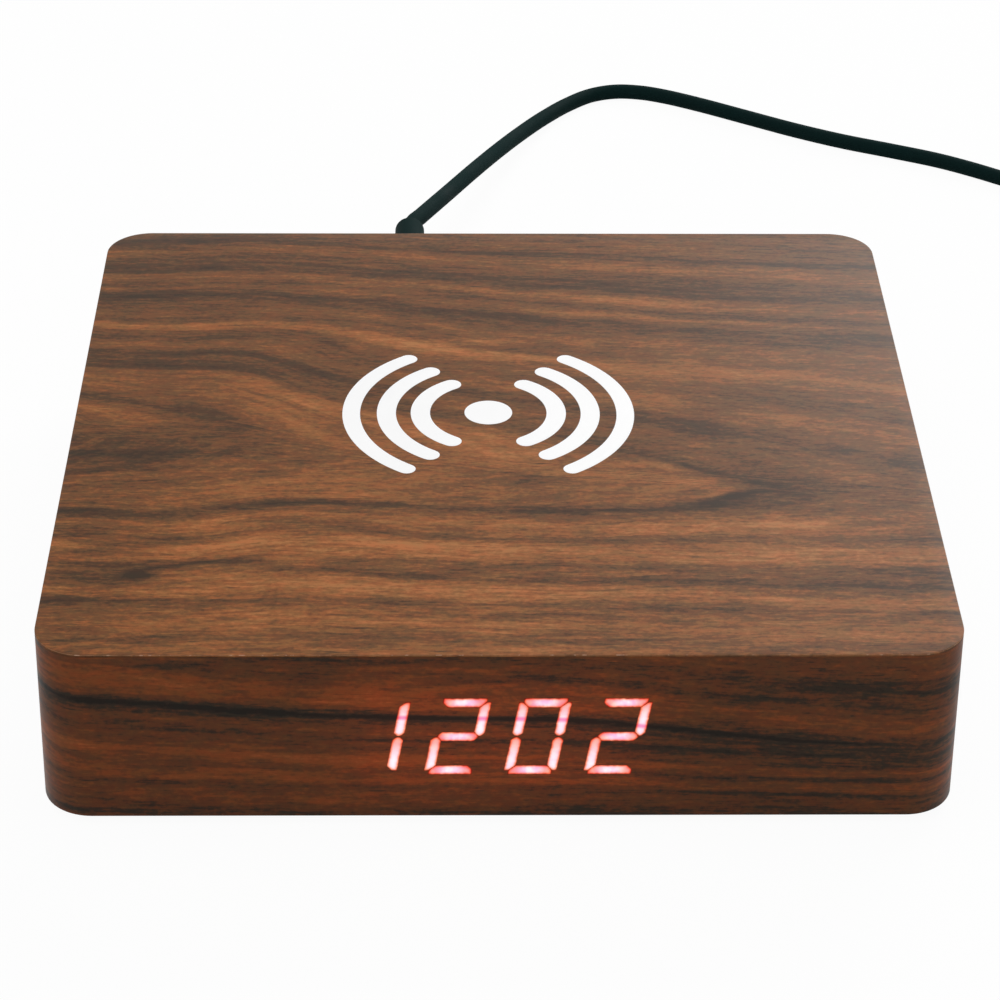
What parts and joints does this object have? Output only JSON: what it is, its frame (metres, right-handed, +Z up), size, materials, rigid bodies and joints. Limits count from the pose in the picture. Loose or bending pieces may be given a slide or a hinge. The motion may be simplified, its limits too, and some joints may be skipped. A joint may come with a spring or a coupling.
{
  "type": "wireless charging alarm clock",
  "caption": "Square wood-look alarm clock with a seven-segment display in its front, a phone charging face on top, push buttons behind and a supply lead tied in a coil.",
  "frame": {"origin": "on the table, under the middle of the case", "axes": "+Z up, the display faces -Y, +X to the right of someone who reads it"},
  "size_m": [0.2578, 0.3084, 0.0325],
  "materials": {
    "fibreboard": "raw milled fibreboard",
    "wood_film": "satin walnut-look film",
    "black_plastic": "fine moulded texture",
    "grey_plastic": "satin",
    "white_plastic": "satin",
    "milky_plastic": "translucent sheet",
    "green_board": "solder mask",
    "rubber": "matt",
    "cord": "smooth jacket",
    "steel": "zinc plated",
    "nickel": "nickel plated",
    "copper": "enamelled copper",
    "ferrite": "matt sintered"
  },
  "bodies": {
    "clock": {"wood_shell": "fibreboard", "side_film": "wood_film", "top_film": "wood_film", "light_diffuser": "milky_plastic", "digit_reflector": "white_plastic", "display_board": "green_board", "display_screw_1": "steel", "display_screw_2": "steel", "charging_winding": "copper", "winding_shield": "ferrite", "winding_lead": "copper", "charger_board": "green_board", "charger_chip": "black_plastic", "charger_choke": "ferrite", "charger_screw_1": "steel", "charger_screw_2": "steel", "control_board": "green_board", "power_socket": "black_plastic", "set_switch": "grey_plastic", "up_switch": "grey_plastic", "down_switch": "grey_plastic", "buzzer": "black_plastic", "clock_chip": "black_plastic", "board_screw_1": "steel", "board_screw_2": "steel", "board_screw_3": "steel", "board_screw_4": "steel", "supply_wire": "cord", "display_ribbon": "grey_plastic", "base_cover": "black_plastic", "base_screw_1": "steel", "base_screw_2": "steel", "base_screw_3": "steel", "base_screw_4": "steel", "rubber_foot_1": "rubber", "rubber_foot_2": "rubber", "rubber_foot_3": "rubber", "rubber_foot_4": "rubber", "coin_cell": "steel", "cell_top_contact": "nickel", "cell_side_contact": "nickel", "plug_grip": "cord", "plug_barrel": "nickel", "cord_run": "cord", "cord_coil": "cord", "cable_tie": "rubber", "far_plug_grip": "cord", "far_plug_shell": "nickel", "far_plug_tongue": "white_plastic"},
    "set_key": {"set_button": "black_plastic", "set_plunger": "grey_plastic"},
    "up_key": {"up_button": "black_plastic", "up_plunger": "grey_plastic"},
    "down_key": {"down_button": "black_plastic", "down_plunger": "grey_plastic"},
    "door": {"battery_door": "black_plastic"}
  },
  "joints": [
    {"name": "set_press", "type": "slide", "parent": "clock", "child": "set_key", "axis": [0, -1, 0], "range_m": [0, 0.0006], "stiffness_N_per_m": 800, "springref_m": -0.0008},
    {"name": "up_press", "type": "slide", "parent": "clock", "child": "up_key", "axis": [0, -1, 0], "range_m": [0, 0.0006], "stiffness_N_per_m": 800, "springref_m": -0.0008},
    {"name": "down_press", "type": "slide", "parent": "clock", "child": "down_key", "axis": [0, -1, 0], "range_m": [0, 0.0006], "stiffness_N_per_m": 800, "springref_m": -0.0008},
    {"name": "battery_door_twist", "type": "hinge", "parent": "clock", "child": "door", "pos_m": [-0.03, -0.012, 0.0015], "axis": [0, 0, -1], "range_deg": [0, 45]}
  ]
}
